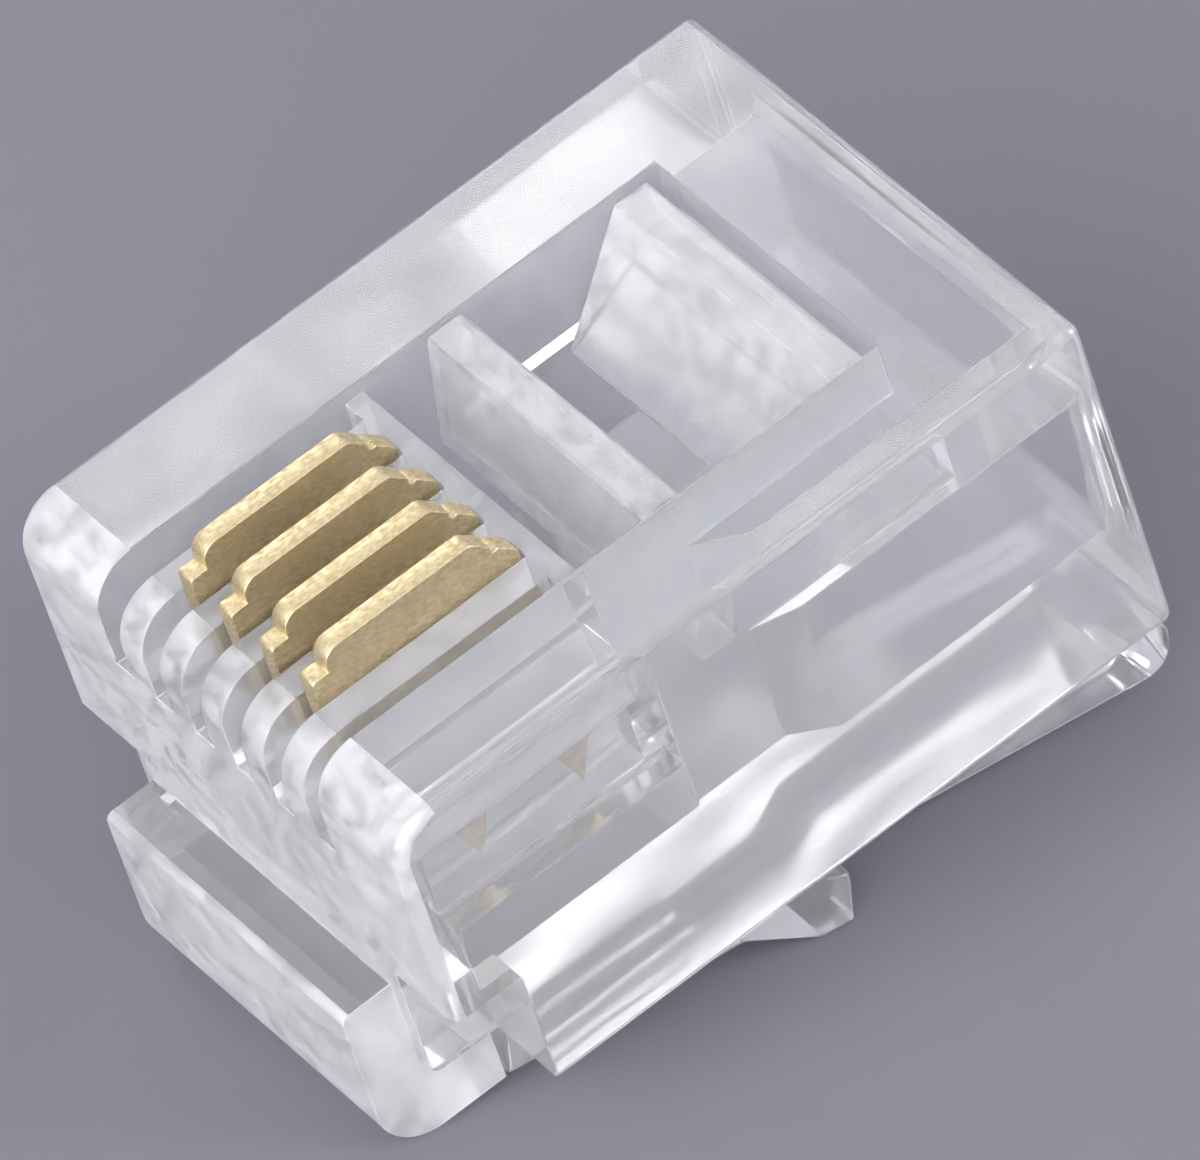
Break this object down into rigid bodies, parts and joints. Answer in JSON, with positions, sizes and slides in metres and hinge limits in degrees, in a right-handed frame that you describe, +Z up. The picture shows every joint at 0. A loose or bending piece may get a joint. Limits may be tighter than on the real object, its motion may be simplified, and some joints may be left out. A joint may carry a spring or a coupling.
{
  "type": "six position modular plug",
  "caption": "Clear moulded modular plug for flat cord, with gold contact blades in a comb, a flat cable inlet, crimp anchors and a sprung latch with locking shoulders.",
  "frame": {"origin": "on the table, under the middle of the plug's box as it lies on its latch", "axes": "+Z up, contact side up; +Y from the nose to the cable end; +X across the plug"},
  "size_m": [0.0096, 0.0164, 0.011],
  "materials": {
    "clear_polycarbonate": "clear moulded",
    "gold_plated_blade": "gold plated"
  },
  "bodies": {
    "body": {"housing": "clear_polycarbonate"},
    "latch": {"latch_lever": "clear_polycarbonate"},
    "jacket_clamp": {"jacket_anchor": "clear_polycarbonate"},
    "conductor_clamp": {"conductor_anchor": "clear_polycarbonate"},
    "contact_2": {"contact_blade_2": "gold_plated_blade"},
    "contact_3": {"contact_blade_3": "gold_plated_blade"},
    "contact_4": {"contact_blade_4": "gold_plated_blade"},
    "contact_5": {"contact_blade_5": "gold_plated_blade"}
  },
  "joints": [
    {"name": "latch_flex", "type": "hinge", "parent": "body", "child": "latch", "pos_m": [0, -0.00521, 0.00085], "axis": [1, 0, 0], "range_deg": [0, 11], "stiffness_Nm_per_rad": 0.2},
    {"name": "jacket_anchor_tilt", "type": "hinge", "parent": "body", "child": "jacket_clamp", "pos_m": [0, 0.00247, 0.00848], "axis": [1, 0, 0], "range_deg": [0, 30]},
    {"name": "conductor_anchor_press", "type": "slide", "parent": "body", "child": "conductor_clamp", "axis": [0, 0.2535, -0.9673], "range_m": [0, 0.00125]},
    {"name": "contact_2_crimp", "type": "slide", "parent": "body", "child": "contact_2", "axis": [0, 0.2535, -0.9673], "range_m": [0, 0.00118]},
    {"name": "contact_3_crimp", "type": "slide", "parent": "body", "child": "contact_3", "axis": [0, 0.2535, -0.9673], "range_m": [0, 0.00118]},
    {"name": "contact_4_crimp", "type": "slide", "parent": "body", "child": "contact_4", "axis": [0, 0.2535, -0.9673], "range_m": [0, 0.00118]},
    {"name": "contact_5_crimp", "type": "slide", "parent": "body", "child": "contact_5", "axis": [0, 0.2535, -0.9673], "range_m": [0, 0.00118]}
  ]
}
